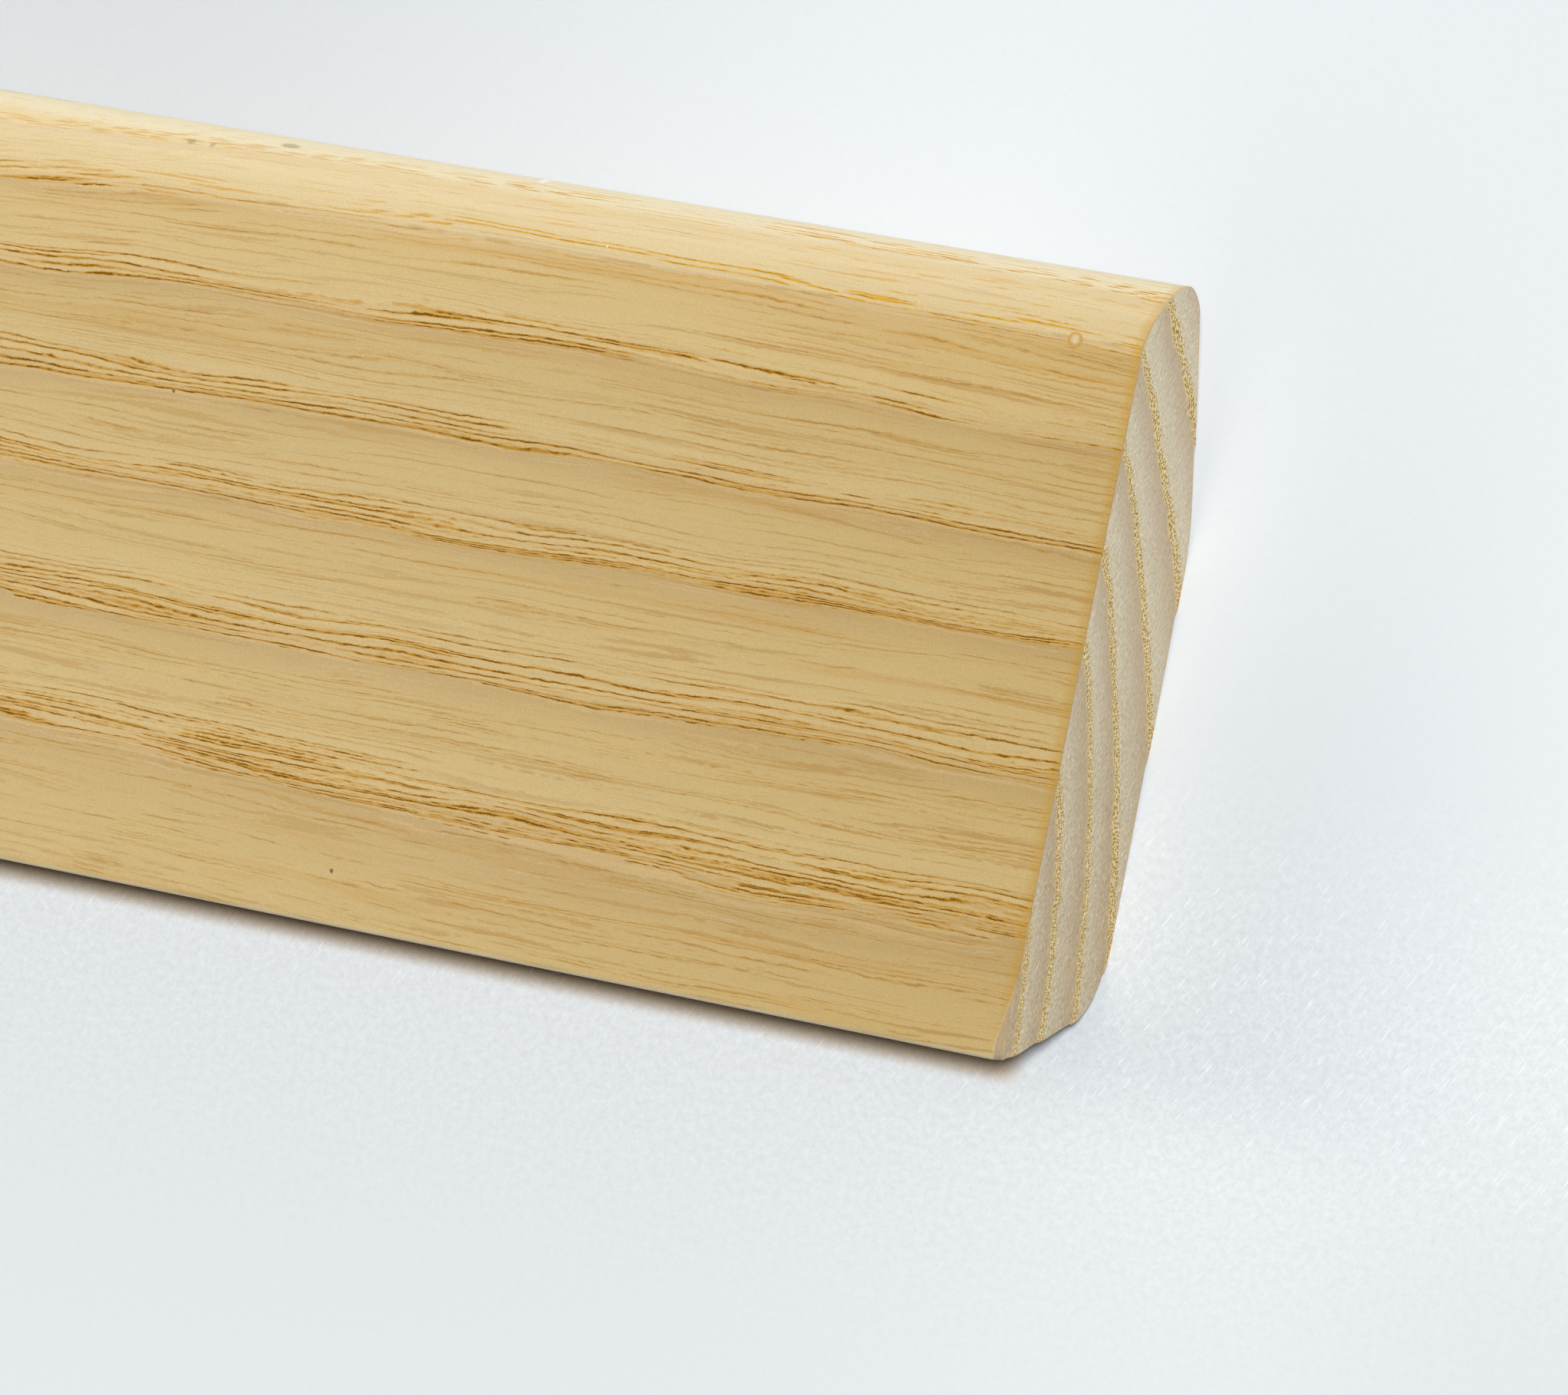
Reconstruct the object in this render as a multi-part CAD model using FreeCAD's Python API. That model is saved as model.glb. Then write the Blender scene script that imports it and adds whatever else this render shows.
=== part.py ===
# A length of solid ash skirting board, moulded from one plank and sawn square at both ends.
# Fixed in a room it leans: the narrow bevel under its toe stands on the floor, the wide bevel
# behind its crown bears on the wall, and the show face slopes back between the two.
# Here it lies loose on the flat of its back, show face up, as a single length lies on a floor.
# X runs along the length, Y across the face from toe to crown, Z up out of the show face.
# The origin is on the plane of the back, halfway along the length and halfway across the width.
# Sizes are in millimetres, angles in degrees.

import FreeCAD, Part
import os
from math import acos, atan2, cos, hypot, pi, radians, sin, tan

# Driving dimensions
LENGTH = 2400.0             # a stock length, sawn square
WIDTH = 65.0                # from the toe to the top of the crown
THICKNESS = 16.0            # from the back to the show face
LEAN = 20.0                 # slope of the fixed board: floor bevel and wall bevel are square to each other
WALL_BEVEL_WIDTH = 20.0     # from the top down to the line where the back and the wall bevel would meet
BEND_RADIUS = 18.0          # soft round where the back turns into the wall bevel
CROWN_RADIUS = 10.0         # sweep of the rounded top
CROWN_DROP = 6.0            # how far the rounded top comes down over the show face
BACK_CORNER_RADIUS = 3.0    # between the rounded top and the wall bevel
HEEL_RADIUS = 7.0           # between the floor bevel and the back, to clear the corner of a room
TOE_RADIUS = 0.4            # slight easing of the sharp lower edge of the face


def point(y, z):
    """A point of the section in the plane of one sawn end."""
    return FreeCAD.Vector(-LENGTH / 2, y, z)


def on_circle(centre, radius, angle):
    """The point of a circle in the section at an angle in radians from +Y towards +Z."""
    return point(centre.y + radius * cos(angle), centre.z + radius * sin(angle))


def arc(centre, radius, start, end):
    """An arc of the section between two angles in radians."""
    middle = (start + end) / 2
    ends = [on_circle(centre, radius, angle) for angle in (start, middle, end)]
    return Part.Arc(*ends).toShape()


def line(start, end):
    return Part.LineSegment(start, end).toShape()


def section():
    """The closed outline of the moulding, anticlockwise from the toe."""
    lean = radians(LEAN)
    toe_side = -WIDTH / 2
    top = WIDTH / 2
    across_wall = pi / 2 - lean         # the wall bevel's outward normal lies this far below +Y
    across_floor = pi - lean            # the floor bevel's outward normal is this far below +Y

    # Toe: its round touches the show face and the floor bevel, and reaches the full width.
    toe = point(toe_side + TOE_RADIUS, THICKNESS - TOE_RADIUS)

    # Heel: its round touches the floor bevel, as the toe does, and the back.
    fall = THICKNESS - TOE_RADIUS - HEEL_RADIUS
    grow = (HEEL_RADIUS - TOE_RADIUS) / cos(lean)
    heel = point(toe.y + fall * tan(lean) + grow, HEEL_RADIUS)

    # Bend: its round touches the back and the wall bevel, which would meet in a sharp line.
    meeting_y = top - WALL_BEVEL_WIDTH
    bend = point(meeting_y - BEND_RADIUS * tan(lean / 2), BEND_RADIUS)

    # Back corner: its round touches the wall bevel and reaches the top.
    corner_y = top - BACK_CORNER_RADIUS
    corner = point(corner_y, (BACK_CORNER_RADIUS + (corner_y - meeting_y) * sin(lean)) / cos(lean))

    # Crown: its arc starts at the arris of the show face and runs smoothly into the back corner.
    arris = point(top - CROWN_DROP, THICKNESS)
    reach = hypot(corner.y - arris.y, corner.z - arris.z)
    inner = CROWN_RADIUS - BACK_CORNER_RADIUS
    at_arris = acos((CROWN_RADIUS**2 + reach**2 - inner**2) / (2 * CROWN_RADIUS * reach))
    towards_corner = atan2(corner.z - arris.z, corner.y - arris.y)
    crown = on_circle(arris, CROWN_RADIUS, towards_corner - at_arris)
    crown_start = atan2(corner.z - crown.z, corner.y - crown.y)
    crown_end = atan2(arris.z - crown.z, arris.y - crown.y)

    wall_start = on_circle(bend, BEND_RADIUS, -across_wall)
    wall_end = on_circle(corner, BACK_CORNER_RADIUS, -across_wall)

    return Part.Wire([
        arc(toe, TOE_RADIUS, pi / 2, 2 * pi - across_floor),
        line(on_circle(toe, TOE_RADIUS, -across_floor), on_circle(heel, HEEL_RADIUS, -across_floor)),
        arc(heel, HEEL_RADIUS, -across_floor, -pi / 2),
        line(on_circle(heel, HEEL_RADIUS, -pi / 2), on_circle(bend, BEND_RADIUS, -pi / 2)),
        arc(bend, BEND_RADIUS, -pi / 2, -across_wall),
        line(wall_start, wall_end),
        arc(corner, BACK_CORNER_RADIUS, -across_wall, crown_start),
        arc(crown, CROWN_RADIUS, crown_start, crown_end),
        line(arris, on_circle(toe, TOE_RADIUS, pi / 2)),
    ])


def skirting_board():
    """The moulded length: one solid, its two ends left as the saw leaves them."""
    return Part.Face(section()).extrude(FreeCAD.Vector(LENGTH, 0, 0))


os.makedirs("parts", exist_ok=True)
board = skirting_board()
board.exportStep("parts/skirting_board.step")
print("skirting_board valid", board.isValid(), "volume cm3", round(board.Volume / 1000, 1))
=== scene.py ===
from math import acos, atan2, ceil, cos, hypot, pi, radians, sin, tan

import bmesh
import bpy
import numpy as np
from mathutils import Matrix, Vector


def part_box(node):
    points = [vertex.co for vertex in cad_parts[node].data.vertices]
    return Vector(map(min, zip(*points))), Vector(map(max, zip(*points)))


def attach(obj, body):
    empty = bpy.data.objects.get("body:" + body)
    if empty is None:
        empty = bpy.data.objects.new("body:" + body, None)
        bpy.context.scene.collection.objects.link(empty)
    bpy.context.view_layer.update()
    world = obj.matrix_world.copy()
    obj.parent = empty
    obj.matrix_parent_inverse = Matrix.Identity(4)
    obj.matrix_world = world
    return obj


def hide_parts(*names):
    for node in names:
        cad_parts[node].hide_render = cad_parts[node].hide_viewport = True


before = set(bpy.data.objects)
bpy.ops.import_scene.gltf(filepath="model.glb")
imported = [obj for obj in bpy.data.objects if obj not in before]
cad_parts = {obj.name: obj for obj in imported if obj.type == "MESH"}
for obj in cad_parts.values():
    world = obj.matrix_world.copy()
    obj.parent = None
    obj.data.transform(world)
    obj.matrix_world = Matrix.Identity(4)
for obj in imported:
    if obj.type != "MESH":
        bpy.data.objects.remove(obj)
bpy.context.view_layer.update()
scene = bpy.context.scene
scene.view_settings.view_transform = "Standard"

# The moulding: a plank of ash, planed to 16 mm and run through a moulder that cuts the two
# bevels, the round heel, the rounded crown and its tight back corner, then sawn to length.
# Sizes are in metres, in the frame's own axes: X along the length, Y to the crown, Z up.
MM = 0.001
low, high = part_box("skirting_board")
LENGTH, WIDTH, THICKNESS = high - low
SAWN_END = high.x
TOE = low.y
TOP = high.y
LEAN = radians(20)
WALL_BEVEL_WIDTH = 20 * MM
MEETING_Y = TOP - WALL_BEVEL_WIDTH
BEND_RADIUS = 18 * MM
CROWN_RADIUS = 10 * MM
CROWN_DROP = 6 * MM
BACK_CORNER_RADIUS = 3 * MM
HEEL_RADIUS = 7 * MM
TOE_RADIUS = 0.4 * MM
ARRIS_EASE = 1.0 * MM
CORE = (0, THICKNESS / 2)


def rounding(centre, radius, start, end, facets):
    """Points of an arc of the section, as (y, z), from one angle to another."""
    angles = [start + (end - start) * i / facets for i in range(facets + 1)]
    return [(centre[0] + radius * cos(a), centre[1] + radius * sin(a)) for a in angles]


toe = (TOE + TOE_RADIUS, THICKNESS - TOE_RADIUS)
heel_run = (toe[1] - HEEL_RADIUS) * tan(LEAN) + (HEEL_RADIUS - TOE_RADIUS) / cos(LEAN)
heel = (toe[0] + heel_run, HEEL_RADIUS)
bend = (MEETING_Y - BEND_RADIUS * tan(LEAN / 2), BEND_RADIUS)
corner_y = TOP - BACK_CORNER_RADIUS
corner = (corner_y, (BACK_CORNER_RADIUS + (corner_y - MEETING_Y) * sin(LEAN)) / cos(LEAN))
arris = (TOP - CROWN_DROP, THICKNESS)
reach = hypot(corner[0] - arris[0], corner[1] - arris[1])
inner = CROWN_RADIUS - BACK_CORNER_RADIUS
at_arris = acos((CROWN_RADIUS**2 + reach**2 - inner**2) / (2 * CROWN_RADIUS * reach))
to_crown = atan2(corner[1] - arris[1], corner[0] - arris[0]) - at_arris
crown = (arris[0] + CROWN_RADIUS * cos(to_crown), arris[1] + CROWN_RADIUS * sin(to_crown))
crown_start = atan2(corner[1] - crown[1], corner[0] - crown[0])
ease_z = THICKNESS - ARRIS_EASE
ease_rise = ease_z - crown[1]
ease_reach = CROWN_RADIUS - ARRIS_EASE
ease_angle = atan2(ease_rise, (ease_reach**2 - ease_rise**2) ** 0.5)
ease = (crown[0] + ease_reach * cos(ease_angle), ease_z)

bpy.ops.object.select_all(action="DESELECT")
toe_overhang = TOE_RADIUS * (1 / cos(LEAN) + tan(LEAN) - 1)
plank_low = TOE - toe_overhang
bpy.ops.mesh.primitive_cube_add(
    size=1,
    location=(0, (plank_low + TOP) / 2, THICKNESS / 2),
    scale=(LENGTH, TOP - plank_low, THICKNESS),
)
board = bpy.context.object
board.name = "moulded_ash_length"
bpy.ops.object.transform_apply(location=True, rotation=False, scale=True)
bpy.ops.object.mode_set(mode="EDIT")


def plane_off(at, outward):
    """Takes off what lies beyond a plane along the whole length, as a moulder's cutter does."""
    bpy.ops.mesh.select_all(action="SELECT")
    bpy.ops.mesh.bisect(
        plane_co=(0, *at), plane_no=(0, *outward), use_fill=True, clear_outer=True, threshold=1e-7
    )


def score(at, normal):
    """Adds a line of edges round the board where a plane crosses it."""
    bpy.ops.mesh.select_all(action="SELECT")
    bpy.ops.mesh.bisect(plane_co=at, plane_no=normal, threshold=1e-6)


plane_off((MEETING_Y, 0), (sin(LEAN), -cos(LEAN)))
plane_off((plank_low, THICKNESS), (-cos(LEAN), -sin(LEAN)))
arcs = [
    rounding(toe, TOE_RADIUS, pi / 2, pi + LEAN, facets=12),
    rounding(heel, HEEL_RADIUS, pi + LEAN, 3 * pi / 2, facets=14),
    rounding(bend, BEND_RADIUS, -pi / 2, LEAN - pi / 2, facets=6),
    rounding(corner, BACK_CORNER_RADIUS, LEAN - pi / 2, crown_start, facets=16),
    rounding(crown, CROWN_RADIUS, crown_start, ease_angle, facets=18),
    rounding(ease, ARRIS_EASE, ease_angle, pi / 2, facets=4),
]
for arc in arcs:
    for start, end in zip(arc, arc[1:]):
        along = Vector(end) - Vector(start)
        outward = Vector((along.y, -along.x)).normalized()
        middle = (Vector(start) + Vector(end)) / 2
        if outward.dot(middle - Vector(CORE)) < 0:
            outward.negate()
        plane_off(start, outward)

# A grid over the section carries the small damage of the sawn ends; rings of edges close to
# each end carry the broken corners, and an even run of them covers the part the photo shows.
GRID = 0.7 * MM
END_RINGS = [distance * MM for distance in (0.12, 0.3, 0.55, 0.9, 1.4, 2.1, 3.0)]
SHOWN = 112 * MM
CLOSE_ENOUGH = 0.01 * MM
for i in range(1, ceil(WIDTH / GRID)):
    score((0, TOE + i * GRID, 0), (0, 1, 0))
for i in range(1, ceil(THICKNESS / GRID)):
    score((0, 0, i * GRID), (0, 0, 1))
for distance in END_RINGS:
    score((SAWN_END - distance, 0, 0), (1, 0, 0))
    score((distance - SAWN_END, 0, 0), (1, 0, 0))
score((SAWN_END - SHOWN, 0, 0), (1, 0, 0))


def divide_run(run, cuts):
    """Divides every edge along the board that is as long as one run between two lines."""
    shape = bmesh.from_edit_mesh(board.data)
    for edge in shape.edges:
        edge.select = abs(edge.calc_length() - run) < CLOSE_ENOUGH
    bmesh.update_edit_mesh(board.data)
    bpy.ops.mesh.subdivide(number_cuts=cuts)


bpy.ops.mesh.select_mode(type="EDGE")
bpy.ops.mesh.select_all(action="DESELECT")
divide_run(LENGTH - SHOWN - END_RINGS[-1], cuts=47)
divide_run(SHOWN - END_RINGS[-1], cuts=63)
bpy.ops.object.mode_set(mode="OBJECT")


# The growth rings: the tree's pith ran in front of the face and below the toe, so the rings
# cross the section as arcs that bulge to the back. Each ring opens with coarse, open pores.
# The same values place them in the wood's colour and in the damage at the edges, in mm.
PITH = (-39.1, 80.1)
MEAN_RADIUS = 78
RING_EDGES = (57.4, 62.2, 67.1, 70.8, 76.0, 80.4, 85.8, 91.0, 96.3, 101.4, 107.0, 112.2, 116.9)

# The grain drifts and waves along the board. Each drift has its size and its length, and a wave
# also has how it leans by Y and by Z, and where it starts.
GRAIN_DRIFT = ((3.5, 1700), (1.2, 610))
GRAIN_WAVES = (
    (0.44, 203, -0.03, 0.37, 5.6),
    (0.27, 184, 0.10, -0.23, 2.5),
    (1.00, 260, 0.03, -0.20, -1.0),
)


def ring_phase(points):
    """How far each point is through its growth ring, from 0 where the ring opens to 1."""
    x, y, z = (points / MM).T
    back = SAWN_END / MM - x
    radius = np.hypot(y - PITH[0], z - PITH[1])
    for size, period in GRAIN_DRIFT:
        radius += size * (1 - np.cos(2 * pi * back / period))
    for size, period, by_y, by_z, start in GRAIN_WAVES:
        radius += size * np.sin(2 * pi * back / period + by_y * y + by_z * z + start)
    rings = np.interp(radius, RING_EDGES, range(len(RING_EDGES)))
    return rings % 1


# The damage of the sawn ends, all of it taken off the wood. Behind, the hard late wood of each
# ring broke away under the saw and left the pore rows standing proud of it, in sharp steps.
# Every arris of the end is broken a little, and the corner at the toe is chipped.
STEP_DEPTH = 0.26 * MM
STEP_REACH = END_RINGS[-1]
STEP_PHASES = (0, 0.22, 0.5, 0.9, 1)
STEP_SHARES = (0, 0.02, 0.35, 0.8, 1)
ARRIS_BREAK = 0.03 * MM
DAMAGE_WIDTH = 1.4 * MM
CHIP_PLACE = (SAWN_END, TOE, THICKNESS)
CHIP_WAY = (-0.75, 0.45, -0.5)
CHIP_REACH = 1.1 * MM
CHIP_DEPTH = 0.35 * MM

outline = np.array([point for arc in arcs for point in arc])
sides = np.roll(outline, -1, axis=0) - outline
points = np.empty(len(board.data.vertices) * 3)
board.data.vertices.foreach_get("co", points)
points = points.reshape(-1, 3)
from_end = SAWN_END - np.abs(points[:, 0])
worked = from_end < STEP_REACH - CLOSE_ENOUGH

spot = points[worked][:, 1:]
apart = np.full(len(spot), np.inf)
inward = np.zeros_like(spot)
for start, side in zip(outline, sides):
    along = np.clip((spot - start) @ side / max(side @ side, 1e-12), 0, 1)
    gap = spot - start - along[:, None] * side
    distance = np.hypot(*gap.T)
    nearer = distance < apart
    apart[nearer] = distance[nearer]
    inward[nearer] = np.array((-side[1], side[0])) / max(np.hypot(*side), 1e-9)

inward *= np.sign(np.sum(inward * (np.array(CORE) - spot), axis=1))[:, None]
taken = np.interp(ring_phase(points[worked]), STEP_PHASES, STEP_SHARES) * STEP_DEPTH
taken *= np.clip(inward[:, 1] * 2, 0, 1) * np.clip(1 - from_end[worked] / STEP_REACH, 0, 1)

# Along an arris the break comes and goes, in waves a few millimetres long.
y, z = spot.T / MM
worn = 0.6 + 0.4 * np.sin(y * 2.1) * np.sin(y * 0.83 + z)
taken += ARRIS_BREAK * worn * (from_end[worked] < CLOSE_ENOUGH)
taken *= np.clip(1 - apart / DAMAGE_WIDTH, 0, 1)
points[worked, 1:] += inward * taken[:, None]

to_chip = np.linalg.norm(points - np.array(CHIP_PLACE), axis=1)
chipped = np.clip(1 - to_chip / CHIP_REACH, 0, 1) * CHIP_DEPTH
points += chipped[:, None] * np.array(CHIP_WAY)
board.data.vertices.foreach_set("co", points.ravel())
board.data.update()
bpy.ops.object.shade_smooth_by_angle(angle=radians(12))


# The wood of the board: ash, with one pattern of rings, vessels and fibres all through the
# plank, so that the rings run on from the face over the crown and into the sawn ends. Each
# point's place gives the pattern, and the sides that follow show it in colours of their own.
class Field:
    """A number, colour or vector that changes over a surface: one socket of its material."""

    def __init__(self, tree, socket=None):
        self.tree = tree
        self.socket = socket

    def node(self, kind, settings, sockets):
        """Adds a node, sets it up, gives its sockets values or fields, and returns its first output."""
        made = self.tree.nodes.new("ShaderNode" + kind)
        stops = settings.pop("stops", [])
        for name, value in settings.items():
            setattr(made, name, value)
        for i, (place, colour) in enumerate(stops):
            ramp = made.color_ramp.elements
            stop = ramp[i] if i < 2 else ramp.new(place)
            stop.position = place
            stop.color = colour
        for name, value in sockets.items():
            if isinstance(value, Field):
                self.tree.links.new(value.socket, made.inputs[name])
            else:
                made.inputs[name].default_value = value
        return Field(self.tree, made.outputs[0])

    def other(self, output):
        """Another output of the node that this field comes from."""
        return Field(self.tree, self.socket.node.outputs[output])

    def parts(self):
        """The red of the node's colour, its second output; other() finds the green and the blue."""
        return self.node("SeparateColor", {}, {0: self.other(1)})

    def maths(self, operation, *others):
        """A sum on this field, and on others that follow it."""
        return self.node("Math", {"operation": operation}, dict(enumerate((self, *others))))

    def __add__(self, other):
        return self.maths("ADD", other)

    def __sub__(self, other):
        return self.maths("SUBTRACT", other)

    def __rsub__(self, other):
        return self.node("Math", {"operation": "SUBTRACT"}, {0: other, 1: self})

    def __mul__(self, other):
        return self.maths("MULTIPLY", other)

    def __truediv__(self, other):
        return self.maths("DIVIDE", other)

    __radd__ = __add__
    __rmul__ = __mul__

    def rise(self, start, end):
        """0 up to start, 1 from end on, and smooth between; start may be the larger."""
        settings = {"interpolation_type": "SMOOTHSTEP"}
        return self.node("MapRange", settings, {"Value": self, "From Min": start, "From Max": end})

    def spread(self, least, most):
        """A 0 to 1 field spread over another range."""
        return least + self * (most - least)

    def swing(self, size):
        """A 0 to 1 field as a shift either way of nothing, so large from end to end."""
        return (self - 0.5) * size


def shade(red, green, blue):
    """A colour given as it shows on a screen, 0 to 255, in the renderer's own linear values."""
    channels = [c / 255 for c in (red, green, blue)]
    return (*[c / 12.92 if c <= 0.04045 else ((c + 0.055) / 1.055) ** 2.4 for c in channels], 1)


def lay(base, over, amount):
    """One colour laid over another, as strongly as amount says."""
    return amount.node("Mix", {"data_type": "RGBA"}, {0: amount, 6: base, 7: over}).other(2)


class Surface:
    """The places on a piece in one of its materials, in mm, and what is laid out by them."""

    def __init__(self, tree):
        here = Field(tree).node("TexCoord", {}, {}).other("Object")
        here = here.node("VectorMath", {"operation": "SCALE"}, {0: here, "Scale": 1 / MM})
        self.x = here.node("SeparateXYZ", {}, {0: here})
        self.y = self.x.other("Y")
        self.z = self.x.other("Z")
        self.back = SAWN_END / MM - self.x

    def streaks(self, along, across, around, detail=2, roughness=0.5):
        """Soft noise about 0.5, drawn out by so many mm each way."""
        scaled = {i: field / size for i, (field, size) in enumerate((along, across, around))}
        place = self.x.node("CombineXYZ", {}, scaled)
        sockets = {"Vector": place, "Scale": 1, "Detail": detail, "Roughness": roughness}
        return place.node("TexNoise", {}, sockets)

    def away_from(self, back, y, stretch=1):
        """How far each point is from a spot, given by its distance from the end and its Y."""
        along = (self.back - back) / stretch
        across = self.y - y
        return (along * along + across * across).maths("SQRT")

    def shaded(self, colour, strength):
        """A colour made darker or lighter by a field about 1."""
        return self.x.node("VectorMath", {"operation": "SCALE"}, {0: colour, "Scale": strength})

    def relief(self, height):
        """Shading of a fine surface relief whose height is in mm."""
        return height.node("Bump", {}, {"Height": height, "Distance": MM, "Strength": 1})


class Ash(Surface):
    """Ash wood all through a piece, as fields of one material, with lengths in mm.

    The grain sways: first each point is moved a little across the length, and then all that grows
    in rings is placed from there. Vessels are fine tubes side by side along the grain, crowded
    in the early wood, which ends between the two phases given, and closest in its first row.
    They run out of the face slowly where the grain waves, by as much as follow says. The radius
    is measured out from the pith, and round is measured round it.
    """

    ROWS = 19
    PITCH = 0.27

    def __init__(self, tree, early_ends=(0.12, 0.26), follow=1.6):
        super().__init__(tree)
        self.grit = self.streaks((self.x, 0.18), (self.y, 0.14), (self.z, 0.14), detail=1)
        sway = self.streaks((self.x, 20), (self.y, 2.6), (self.z, 2.6), detail=1).parts()
        shake = self.streaks((self.x, 1.3), (self.y, 0.6), (self.z, 0.6), detail=1).parts()
        up = self.y - PITH[0] + sway.swing(1.6) + shake.swing(0.20) + self.grit.swing(0.09)
        down = PITH[1] - self.z + sway.other("Green").swing(0.5) + shake.other("Green").swing(0.14)
        shift = 0
        for size, period in GRAIN_DRIFT:
            shift += size * (1 - (self.back * (2 * pi / period)).maths("COSINE"))
        for size, period, by_y, by_z, start in GRAIN_WAVES:
            wave = self.back * (2 * pi / period) + self.y * by_y + self.z * by_z + start
            shift += size * wave.maths("SINE")
        self.radius = (up * up + down * down).maths("SQRT") + shift
        self.round = up.maths("ARCTAN2", down) * MEAN_RADIUS + shift * follow

        first, last = RING_EDGES[0], RING_EDGES[-1]
        count = len(RING_EDGES) - 1
        places = [(edge - first) / (last - first) for edge in RING_EDGES]
        stops = [(place, (i / count, i / count, i / count, 1)) for i, place in enumerate(places)]
        across = (self.radius - first) / (last - first)
        self.rings = across.node("ValToRGB", {"stops": stops}, {0: across}) * count
        self.phase = self.rings.maths("FRACT")
        self.early = self.phase.rise(early_ends[1], early_ends[0])

        rows = self.x.node("CombineXYZ", {}, {0: self.rings * self.ROWS, 1: self.round / self.PITCH})
        settings = {"voronoi_dimensions": "2D"}
        self.from_axis = rows.node("TexVoronoi", settings, {0: rows, "Scale": 1, "Randomness": 0.75})
        chance = self.from_axis.parts()
        self.bore = chance.other("Blue") * 0.08
        self.clouds = self.streaks((self.x, 44), (self.radius, 0.9), (self.round, 2.4))
        groups = self.streaks((self.x, 13), (self.radius, 0.45), (self.round, 0.6), detail=1)
        groups = groups.swing(1.3) + self.clouds.swing(0.6)
        share = self.early.spread(0.38, 0.93) + groups * self.early.spread(0.5, 0.8)
        share += self.phase.rise(0.075, 0.045) * 0.15
        self.present = (share - chance.other("Green")).rise(-0.02, 0.02)
        self.fibres = self.streaks((self.x, 22), (self.radius, 0.2), (self.round, 0.6), roughness=0.6)

    def vessels(self, late, early, rim):
        """1 in a vessel, fading to 0 across a rim, with the bores of late and of early wood."""
        inside = self.early.spread(late, early) + self.bore - self.from_axis
        return inside.rise(-rim, 0.04) * self.present

    def by_phase(self, stops, feather):
        """A colour that follows the ring from where it opens, 0, to where it closes, 1."""
        stops = [(place, shade(*colour)) for place, colour in stops]
        ragged = (self.rings + self.fibres.swing(feather)).maths("FRACT")
        return ragged.node("ValToRGB", {"stops": stops}, {0: ragged})


def new_material(name):
    """An empty material."""
    made = bpy.data.materials.new(name)
    made.use_nodes = True
    made.node_tree.nodes.clear()
    return made


def finish_with(material, shader, **sockets):
    """Ends a material in one shader."""
    sockets = {name.replace("_", " "): value for name, value in sockets.items()}
    surface = Field(material.node_tree).node(shader, {}, sockets)
    output = material.node_tree.nodes.new("ShaderNodeOutputMaterial")
    material.node_tree.links.new(surface.socket, output.inputs[0])


# The show face, the crown and the toe: clear satin lacquer over sanded ash. The lacquer warms
# the wood, sinks into the open pores as golden brown lines, and is deeper gold at the sawn edge.
# Over the crown a painted sheen makes it paler.
lacquered = new_material("clear_lacquered_ash")
wood = Ash(lacquered.node_tree, early_ends=(0.18, 0.36))
from_arris = wood.y - arris[0] / MM
from_toe = wood.y - TOE / MM
on_crown = from_arris.rise(-1.5, 0.3)
further = wood.back.rise(45, 85)
tone = wood.by_phase([
    (0.00, (203, 171, 116)),
    (0.08, (206, 176, 119)),
    (0.20, (211, 183, 125)),
    (0.40, (211, 183, 124)),
    (0.55, (208, 179, 119)),
    (0.72, (208, 179, 118)),
    (0.84, (205, 175, 115)),
    (0.93, (199, 168, 110)),
    (1.00, (193, 163, 108)),
], feather=0.5)
# Painted sheen: the lacquer is laid paler further from the sawn end.
tone = lay(tone, shade(230, 210, 170), wood.back.rise(-15, 75) * 0.14 + 0.03)
tone = lay(tone, shade(196, 146, 62), wood.clouds.rise(0.54, 0.68) * wood.phase.rise(0.2, 0.5) * 0.25)
fine_lines = wood.fibres.rise(0.44, 0.35) * wood.phase.rise(0.15, 0.4)
tone = lay(tone, shade(186, 140, 66), fine_lines * wood.back.rise(60, 12).spread(0.36, 0.54))
tone = wood.shaded(tone, wood.fibres.spread(0.92, 1.08) * wood.clouds.spread(0.97, 1.03))
# Painted sheen: the crown is laid paler by its arris and most of all along its top.
painted_crown_sheen = from_arris.rise(-1.5, 0.5) * 0.26 + from_arris.rise(3.5, 4.9) * 0.55
tone = lay(tone, shade(232, 220, 184), painted_crown_sheen)
tone = lay(tone, shade(228, 204, 146), wood.early * 0.12)
warm_band = from_arris.rise(3.3, 3.9) * from_arris.rise(4.5, 4.1)
tone = lay(tone, shade(236, 196, 104), warm_band * 0.15)

# The pores, from the golden tissue round them to the dark bottoms of the open ones, which come
# and go along each line. On the crown they are golden, and fainter away from the end.
depth = wood.early.spread(0.27, 1.0) * (1 - on_crown * further.spread(0.64, 0.9))
depth *= wood.grit.spread(0.5, 1.5)
dashes = wood.streaks((wood.x, 1.6), (wood.radius, 0.3), (wood.round, 0.3), detail=1)
dashes = dashes.rise(0.40, 0.56)
tissue = wood.vessels(0.16, 0.23, 0.24) * wood.early.spread(0.4, 1.0)
rims = wood.vessels(0.14, 0.19, 0.11) * wood.early.spread(0.45, 1.0)
open_pores = wood.vessels(0.13, 0.18, 0.05) * depth * dashes.spread(0.45, 1.15)
bottoms = wood.vessels(0.08, 0.13, 0.03) * depth * dashes
tone = lay(tone, shade(198, 144, 36), tissue * (0.76 - on_crown * 0.4))
tone = lay(tone, shade(226, 172, 26), rims * on_crown * further.spread(0.95, 0.35))
tone = lay(tone, shade(166, 112, 8), open_pores * 0.95)
tone = lay(tone, shade(104, 64, 4), bottoms * 0.72)

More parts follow.
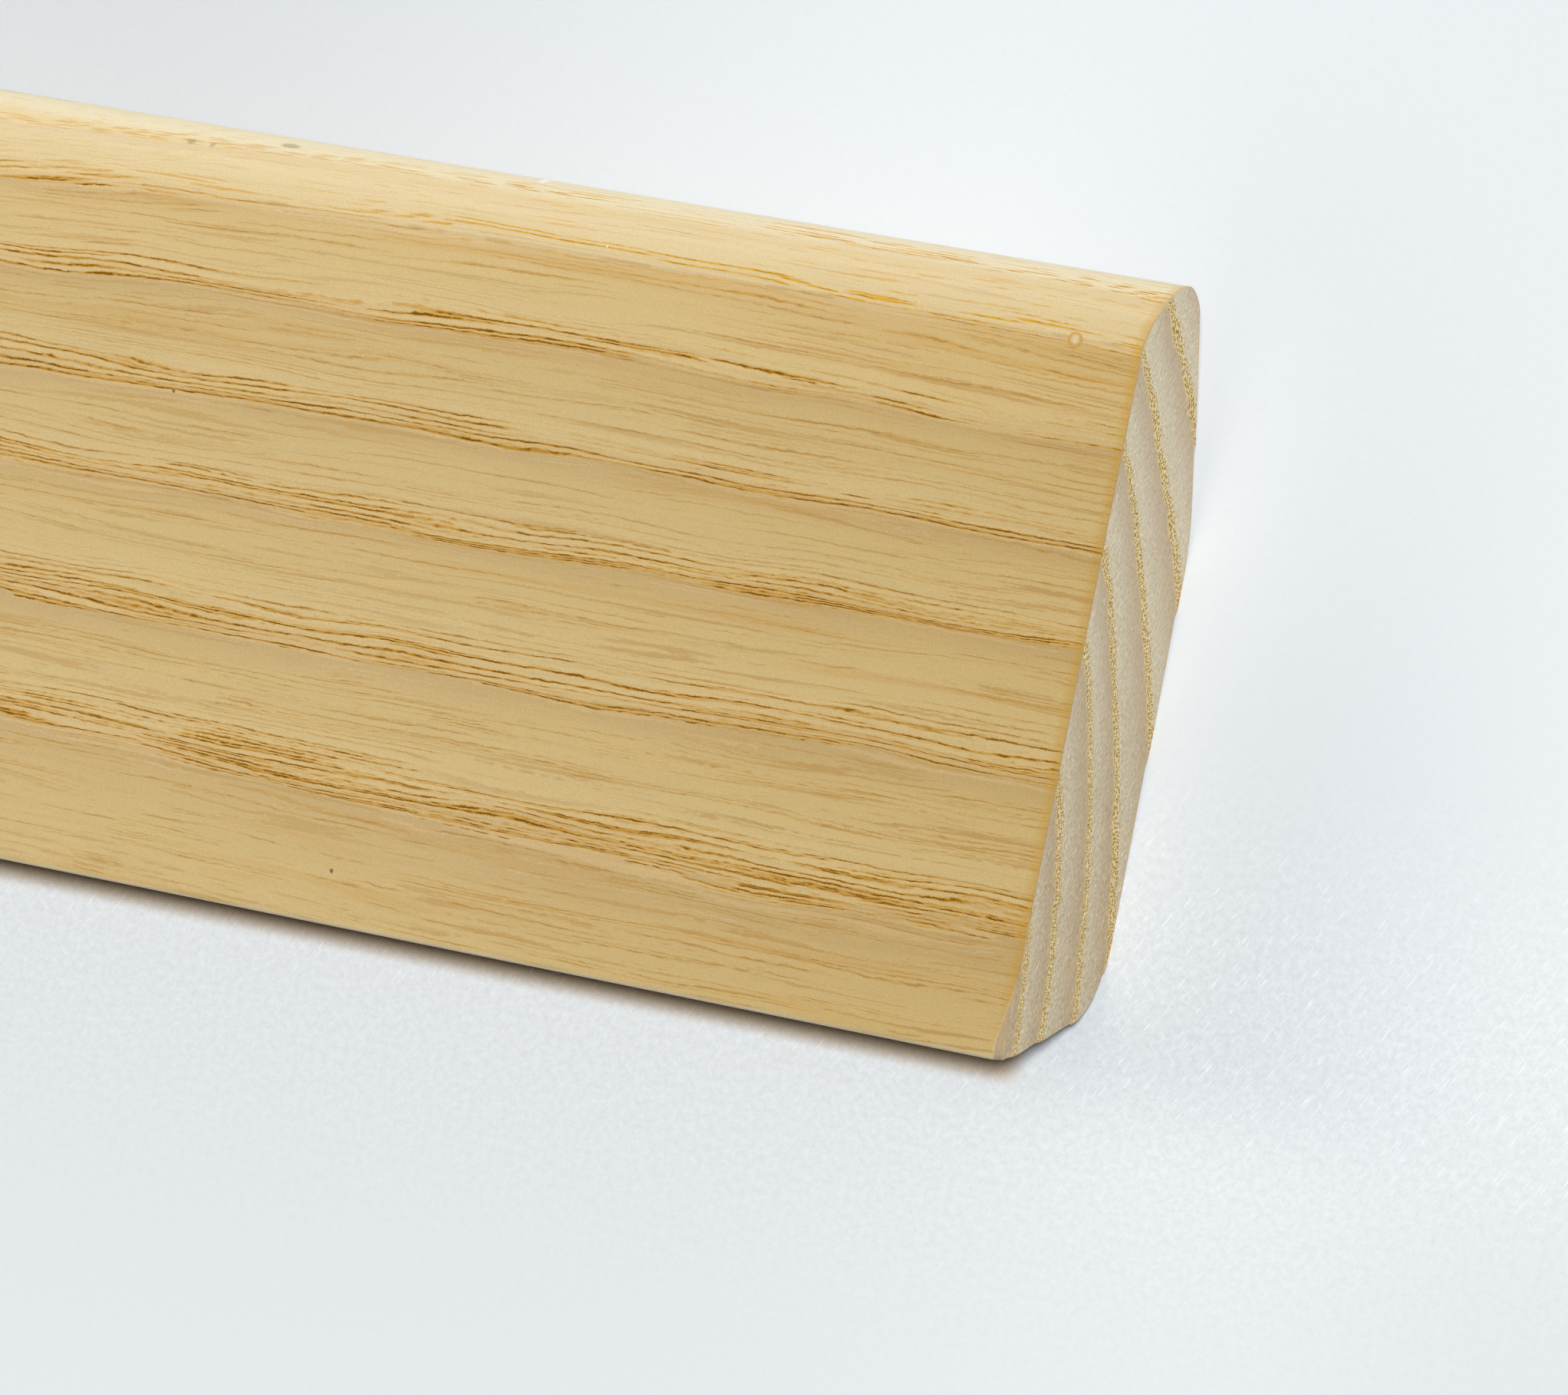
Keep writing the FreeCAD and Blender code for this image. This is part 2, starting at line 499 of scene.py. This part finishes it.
# The edges of the lacquer: gold in a strip along both sawn ends, grey on the very arris, and
# pale along the toe.
ragged = wood.streaks((wood.y, 0.7), (wood.z, 0.7), (wood.x, 8))
from_cut = wood.back.maths("MINIMUM", LENGTH / MM - wood.back)
tone = lay(tone, shade(198, 150, 36), (from_cut + ragged.swing(0.7)).rise(1.3, 0.15) * 0.45)
tone = lay(tone, shade(174, 148, 106), (from_cut + ragged.swing(0.2)).rise(0.26, 0.08) * 0.6)
tone = lay(tone, shade(238, 222, 182), (from_toe + ragged.swing(0.5)).rise(0.4, 0.1) * 0.7)

# Small marks in the lacquer: the front arris of the end is broken down to grey wood beside the
# toe, the crown's arris is scuffed here and there, a bare spot sits in a golden drop near the
# end, and there are seven specks.
from_break = wood.back - (from_toe.rise(7.5, 0.5) * 0.9 + ragged.swing(0.3))
strands = wood.streaks((wood.y, 1.5), (wood.x, 0.16), (wood.z, 1)).rise(0.42, 0.58)
tone = lay(tone, shade(216, 196, 154), from_break.rise(0.2, 0.08) * from_toe.rise(7.5, 4.5) * 0.5)
broken = from_break.rise(0.06, -0.06) * from_toe.rise(7.5, 5.5)
tone = lay(tone, shade(180, 160, 132), broken * strands.spread(0.45, 0.95))
patches = wood.streaks((wood.x, 3.5), (wood.y, 5), (wood.z, 5)).rise(0.50, 0.62)
scuffed = from_arris.rise(-0.4, -0.2) * from_arris.rise(0.1, -0.1) * patches
tone = lay(tone, shade(168, 132, 76), scuffed * 0.3)
from_drop = wood.away_from(6.2, 26.2) + wood.clouds.swing(0.2)
tone = lay(tone, shade(196, 150, 66), from_drop.rise(0.76, 0.64) * from_drop.rise(0.38, 0.5) * 0.7)
tone = lay(tone, shade(222, 206, 168), (from_drop + wood.grit.swing(0.3)).rise(0.4, 0.2) * 0.7)
for place, radius, colour in (
    ((64.5, -28.0), 0.17, (90, 62, 30)),
    ((88.6, 9.2), 0.15, (96, 66, 34)),
    ((50.6, 27.4), 0.12, (240, 232, 208)),
    ((93.3, 30.5, 1.5), 0.24, (164, 146, 112)),
    ((91.2, 30.5), 0.20, (168, 150, 116)),
    ((84.5, 31.6, 4), 0.22, (166, 148, 112)),
    ((60.5, 32.3, 1.5), 0.26, (246, 240, 226)),
):
    speck = (wood.away_from(*place) + wood.grit.swing(0.2)).rise(radius + 0.05, radius - 0.05)
    tone = lay(tone, shade(*colour), speck * 0.75)

# Painted light: slow changes of brightness along the length and up the section, over all of it, with
# the fine grit of the wood.
PAINTED_LIGHT_PERIOD = 420
painted_light_along = ((wood.back - 20) * (2 * pi / PAINTED_LIGHT_PERIOD)).maths("SINE") * 0.05
painted_light_up = from_arris.rise(-12.5, -0.5) * 0.1 + from_arris.rise(-1.9, -0.9) * 0.06
painted_light_up += from_arris.rise(3.9, 5.3) * 0.06 - from_arris.rise(-0.6, 0.4) * 0.18
tone = wood.shaded(tone, wood.grit.spread(0.88, 1.12) + painted_light_along + painted_light_up)
finish_with(
    lacquered, "BsdfPrincipled", Base_Color=tone, Roughness=0.45, Normal=wood.relief(wood.grit * 0.014),
    Specular_IOR_Level=0.2, Coat_Weight=0.6 - open_pores * 0.55, Coat_Roughness=0.28,
)
board.data.materials.append(lacquered)


# The ends: raw end grain as the saw and a light sanding left it. Rows of open pores in golden
# tissue, cream wood that greys towards the next row, and fine scratches up the section.
sawn = new_material("sawn_ash_end_grain")
wood = Ash(sawn.node_tree, early_ends=(0.13, 0.23), follow=0)
tone = wood.by_phase([
    (0.00, (218, 201, 156)),
    (0.08, (222, 209, 170)),
    (0.16, (216, 206, 179)),
    (0.38, (212, 203, 182)),
    (0.55, (207, 195, 174)),
    (0.72, (200, 185, 162)),
    (0.90, (193, 176, 152)),
    (0.96, (192, 173, 146)),
    (1.00, (212, 192, 152)),
], feather=0.12)
# Painted shade: the end grain is laid darker and browner towards the toe.
tone = lay(tone, shade(176, 152, 116), wood.y.rise(24, -26) * wood.phase.spread(0.08, 0.36))
across_saw = wood.y * 0.32 + wood.z * 0.95
along_saw = wood.y * 0.95 - wood.z * 0.32
saw_lines = wood.streaks((along_saw, 2.6), (across_saw, 0.13), (wood.x, 5), detail=3, roughness=0.75)
dust = wood.streaks((along_saw, 0.42), (across_saw, 0.14), (wood.x, 1))
scratches = wood.streaks((along_saw, 7), (across_saw, 0.07), (wood.x, 5), detail=1).rise(0.64, 0.76)
along_sanding = wood.y * 0.8 + wood.z * 0.6
across_sanding = wood.y * 0.6 - wood.z * 0.8
sanding = wood.streaks((along_sanding, 6), (across_sanding, 0.07), (wood.x, 5), detail=1)
scratches += sanding.rise(0.69, 0.78)
rough = wood.y.rise(5, -22).spread(0.9, 1.4)
tone = wood.shaded(tone, 1 + (saw_lines.swing(1.1) + dust.swing(0.95)) * rough + scratches * 0.12)
tone = lay(tone, shade(194, 168, 88), dust.rise(0.58, 0.36) * rough * 0.26)

# The wood is warmer in a narrow rim along the back and the wall bevel, and painted shade makes it a
# little darker between the pore rows towards the toe.
wall_bevel_depth = wood.z * cos(LEAN) - (wood.y - MEETING_Y / MM) * sin(LEAN)
inside = wood.z.maths("MINIMUM", wall_bevel_depth)
tone = lay(tone, shade(224, 178, 124), (inside + dust.swing(0.3)).rise(0.45, 0.1) * 0.4)
between_rows = wood.phase.rise(0.08, 0.25) * wood.phase.rise(0.98, 0.85)
tone = wood.shaded(tone, 1 - wood.y.rise(12, -18) * between_rows * 0.08)
pore_strength = wood.early.spread(0.12, 1.0) + wood.phase.rise(0.55, 0.14) * 0.25
tone = lay(tone, shade(208, 176, 78), wood.vessels(0.30, 0.38, 0.16) * pore_strength * 0.5)
open_pores = wood.vessels(0.12, 0.19, 0.12) * pore_strength * dust.spread(0.7, 1.3)
tone = lay(tone, shade(148, 106, 16), open_pores)
furrows = wood.relief(saw_lines * 0.03)
finish_with(sawn, "BsdfPrincipled", Base_Color=tone, Roughness=0.85, Normal=furrows)
board.data.materials.append(sawn)


# The hidden sides: back, bevels and heel, in ash as the moulder's knives left it, raw and
# without lacquer, since they go against the wall and the floor.
planed = new_material("planed_raw_ash")
wood = Ash(planed.node_tree)
tone = wood.by_phase([
    (0.00, (214, 190, 146)),
    (0.16, (219, 199, 158)),
    (0.40, (218, 200, 163)),
    (0.75, (208, 187, 150)),
    (1.00, (196, 172, 134)),
], feather=0.5)
tone = wood.shaded(tone, wood.fibres.spread(0.88, 1.12) * wood.clouds.spread(0.96, 1.04))
tone = lay(tone, shade(205, 166, 104), wood.vessels(0.16, 0.22, 0.2) * wood.early.spread(0.15, 0.5))
tone = lay(tone, shade(150, 112, 66), wood.vessels(0.16, 0.22, 0.02) * wood.early.spread(0.3, 0.9))
planing = wood.relief(wood.fibres * 0.03)
finish_with(planed, "BsdfPrincipled", Base_Color=tone, Roughness=0.7, Normal=planing)
board.data.materials.append(planed)

# The lacquer covers what faces up and the round back corner; the saw cut the ends.
LACQUERED, SAWN, PLANED = range(3)
faces = board.data.polygons
normals = np.empty(len(faces) * 3)
faces.foreach_get("normal", normals)
normals = normals.reshape(-1, 3)
centres = np.empty(len(faces) * 3)
faces.foreach_get("center", centres)
centres = centres.reshape(-1, 3)
shown_side = (normals[:, 2] > 0.001) | (centres[:, 1] > corner[0] + 0.4 * BACK_CORNER_RADIUS)
slots = np.where(shown_side, LACQUERED, PLANED)
slots[np.abs(normals[:, 0]) > 0.9] = SAWN
faces.foreach_set("material_index", slots.astype(np.int32))

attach(board, "root")
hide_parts("skirting_board")


# The floor: a sheet of white felt, white to the camera and in reflections, and grey to the
# light that it throws back, so that the narrow shadow under the toe stays dark. Painted shade
# makes it a little darker close to the end and towards the far left, and it is evenly white far from
# the end.
bpy.ops.object.select_all(action="DESELECT")
bpy.ops.mesh.primitive_plane_add(size=30, location=(0, 0, 0))
floor = bpy.context.object
floor.name = "floor"
felt = new_material("white_felt")
felted = Surface(felt.node_tree)
around = felted.away_from(0, 0).rise(290, 145)
focus = felted.y.rise(-62, -36) * felted.y.rise(0, -24)
near_end = felted.away_from(-3, -15, stretch=1 / 1.9).rise(76, 3.8) * felted.y.rise(-40, -28)
far_left = felted.back.rise(20, 120) * felted.y.rise(0, 30)
far_right = felted.back.rise(-10, -45) * felted.y.rise(-20, -50)
# Painted shade on the floor: near the end, far left, far right and beyond the crown.
painted_floor_shade = near_end * 0.16 + far_left * 0.18 + far_right * 0.05 + felted.y.rise(5, 30) * 0.01
level = 1.03 - painted_floor_shade * around

# Its fibres show beside the toe and below the end, and blur out further off.
fluff = felted.streaks((felted.x, 0.65), (felted.y, 0.65), (felted.z, 1), detail=4, roughness=0.85)
level += fluff.swing(focus.spread(0.07, 0.46)) * (1 - far_right * 0.6) * around
one_way = felted.x + felted.y
other_way = felted.x - felted.y * 0.6
hairs = felted.streaks((one_way, 3), (other_way, 0.12), (felted.z, 1), detail=1).rise(0.64, 0.74)
crossing = felted.streaks((other_way, 3), (one_way, 0.12), (felted.z, 1), detail=1).rise(0.64, 0.74)
hairs += crossing * 0.4
# In the shadow close to the toe the hairs are painted lighter: painted light caught by the fibres.
level += hairs * focus * (felted.y.rise(-46, -34) * 0.07 + felted.y.rise(-38, -34) * 0.2) * around

# Near the end the white is painted a little bluer, against the warm light that the end throws on it.
white = lay(shade(238, 243, 246), shade(236, 243, 249), near_end)
white = felted.shaded(white, level)

# A strip under the toe is painted warm: painted light, as the wood would throw back into its shadow.
under_toe = felted.y.rise(-34.9, -33.1) * felted.y.rise(-26, -30) * felted.back.rise(5, 8) * around
white = lay(white, felted.shaded(shade(232, 206, 170)[:3], level), under_toe * 0.8)
from_camera = felted.x.node("LightPath", {}, {})
seen = from_camera.maths("MAXIMUM", from_camera.other("Is Glossy Ray"))
seen = seen.maths("MAXIMUM", from_camera.other("Is Transmission Ray"))
finish_with(felt, "BsdfDiffuse", Color=lay(shade(150, 150, 150), white, seen))
floor.data.materials.append(felt)


# The light: one broad lamp almost overhead, which draws the narrow shadow under the toe, and a
# dim white surround that is bright low down beyond the crown and beyond the sawn end.
TOWARDS_LAMP = Vector((0.475, 0.073, 1.0))
world = bpy.data.worlds.new("surround")
scene.world = world
world.use_nodes = True
tree = world.node_tree
tree.nodes.clear()
facing = Field(tree).node("TexCoord", {}, {})
endwards = facing.node("SeparateXYZ", {}, {0: facing})
crownwards = endwards.other("Y")
upwards = endwards.other("Z")
beyond_crown = crownwards.maths("MAXIMUM", 0)
beyond_end = endwards.maths("MAXIMUM", 0)
crown_glow = beyond_crown * beyond_crown * upwards.rise(0.45, 0.05)
end_glow = beyond_end * beyond_end * upwards.rise(0.45, 0.10) * crownwards.rise(-0.3, 0.3)
all_round = crownwards.rise(-0.3, 0.4).spread(0.025, 0.11)
strength = all_round + crown_glow * 3.5 + end_glow * 4.4
glow = facing.node("Background", {}, {"Color": (1, 1, 1, 1), "Strength": strength})
output = tree.nodes.new("ShaderNodeOutputWorld")
tree.links.new(glow.socket, output.inputs[0])

lamp_data = bpy.data.lights.new("overhead", "SUN")
lamp_data.energy = 2.75
lamp_data.angle = radians(6.6)
lamp = bpy.data.objects.new("overhead", lamp_data)
scene.collection.objects.link(lamp)
lamp.rotation_mode = "QUATERNION"
lamp.rotation_quaternion = TOWARDS_LAMP.to_track_quat("Z", "Y")


# The camera: a long lens close above the sawn end, turned so that the length runs down to the
# right, as in the photo.
CAMERA_PLACE = Vector((SAWN_END + 0.4013, -0.0259, 0.84707))
CAMERA_RIGHT = Vector((0.87413, 0.19481, -0.4449))
CAMERA_UP = Vector((-0.16411, 0.98063, 0.10695))
camera_data = bpy.data.cameras.new("camera")
camera_data.lens = 261.4
camera_data.sensor_width = 36
camera_data.clip_start = 0.01
camera_data.clip_end = 50
camera = bpy.data.objects.new("camera", camera_data)
scene.collection.objects.link(camera)
camera_back = CAMERA_RIGHT.cross(CAMERA_UP)
axes = Matrix((CAMERA_RIGHT, CAMERA_UP, camera_back)).transposed().to_4x4()
camera.matrix_world = Matrix.Translation(CAMERA_PLACE) @ axes
scene.camera = camera
